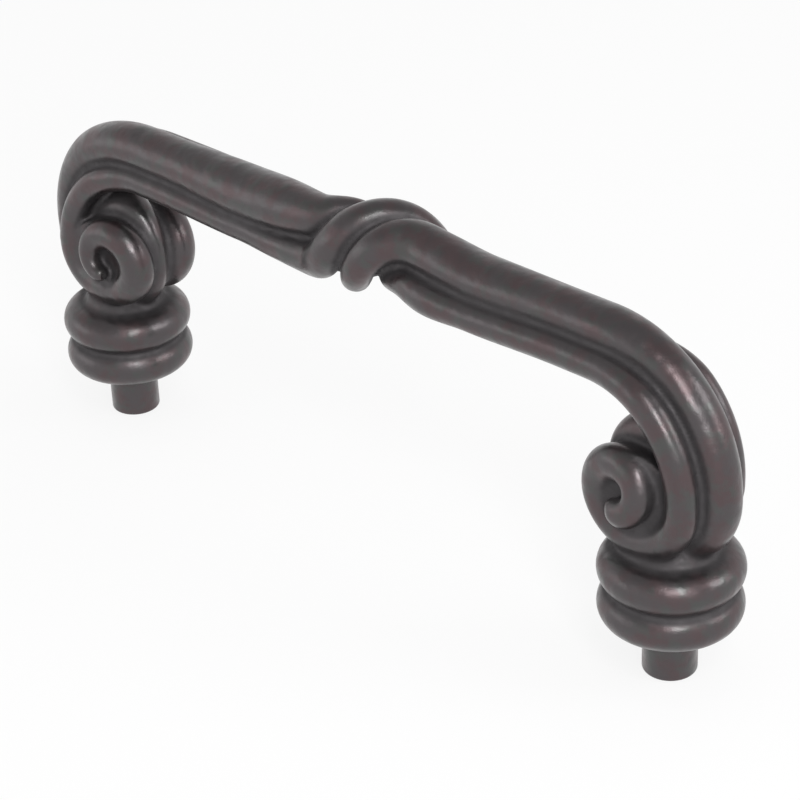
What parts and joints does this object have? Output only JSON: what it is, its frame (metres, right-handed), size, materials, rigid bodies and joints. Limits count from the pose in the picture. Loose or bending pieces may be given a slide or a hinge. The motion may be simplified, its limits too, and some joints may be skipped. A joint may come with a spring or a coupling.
{
  "type": "cabinet handle",
  "caption": "Bow-shaped cast handle: strands knotted at mid-bar, scroll ends on beaded feet, tapped posts for screws from behind the drawer front.",
  "frame": {"origin": "midway between the axes of the two screw holes, in the plane of the posts' end faces, which rest on the drawer front", "axes": "+X along the bar from one screw hole to the other, +Y across the bar, +Z away from the drawer front"},
  "size_m": [0.1162, 0.0174, 0.0467],
  "materials": {
    "bronze": "dark oiled bronze patina, satin"
  },
  "bodies": {
    "root": {"handle": "bronze"}
  },
  "joints": []
}
